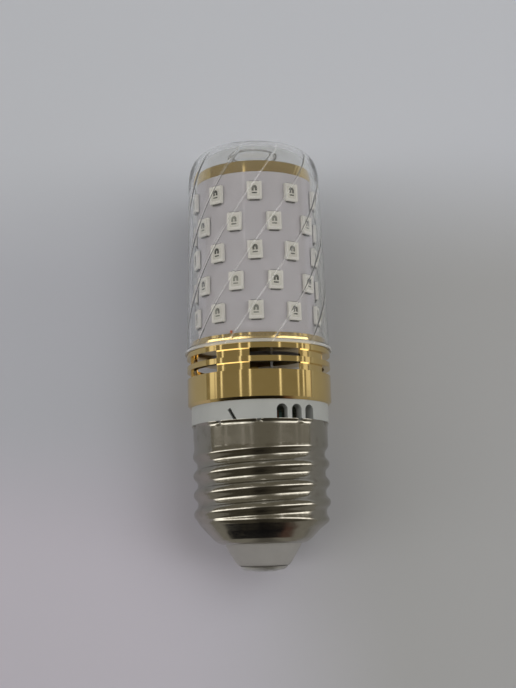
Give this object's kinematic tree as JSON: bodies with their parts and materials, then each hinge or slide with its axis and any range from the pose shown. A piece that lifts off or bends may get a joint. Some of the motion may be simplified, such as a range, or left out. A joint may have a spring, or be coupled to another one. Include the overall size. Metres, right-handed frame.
{
  "type": "screw-cap LED tube lamp",
  "caption": "Screw-cap lamp with light chips on a white tube under a clear tapered cover, a vented gilt ring and a white driver housing.",
  "frame": {"origin": "tip of the centre contact, on the lamp's axis", "axes": "+Z along the axis from the contact to the top of the cover, -Y the front with the small round-topped vents to its right"},
  "size_m": [0.0286, 0.0286, 0.0837],
  "materials": {
    "clear_plastic": "clear moulded plastic, polished",
    "gilt_metal": "polished gilt",
    "board_white": "white solder mask",
    "package_white": "cream moulded body with a clear window",
    "housing_white": "satin white plastic",
    "nickel": "rolled nickel-plated sheet",
    "insulator_grey": "matte grey-white moulding",
    "contact_metal": "stamped metal",
    "driver_green": "circuit board",
    "capacitor_sleeve": "dark sleeve",
    "film_red": "dipped coating",
    "choke_dark": "ferrite and wound wire",
    "chip_black": "moulded epoxy",
    "resistor_body": "coated body",
    "wire_black": "insulated wire",
    "wire_red": "insulated wire",
    "wire_white": "insulated wire"
  },
  "bodies": {
    "root": {"cover": "clear_plastic", "vent_ring": "gilt_metal", "board_cap": "gilt_metal", "led_board": "board_white", "led_packages": "package_white", "base_housing": "housing_white", "screw_shell": "nickel", "cap_insulator": "insulator_grey", "centre_contact": "contact_metal", "driver_board": "driver_green", "smoothing_capacitor": "capacitor_sleeve", "film_capacitor": "film_red", "choke": "choke_dark", "bridge_rectifier": "chip_black", "driver_chip": "chip_black", "fusible_resistor": "resistor_body", "live_wire": "wire_black", "neutral_wire": "wire_black", "feed_wire": "wire_red", "return_wire": "wire_white"}
  },
  "joints": []
}
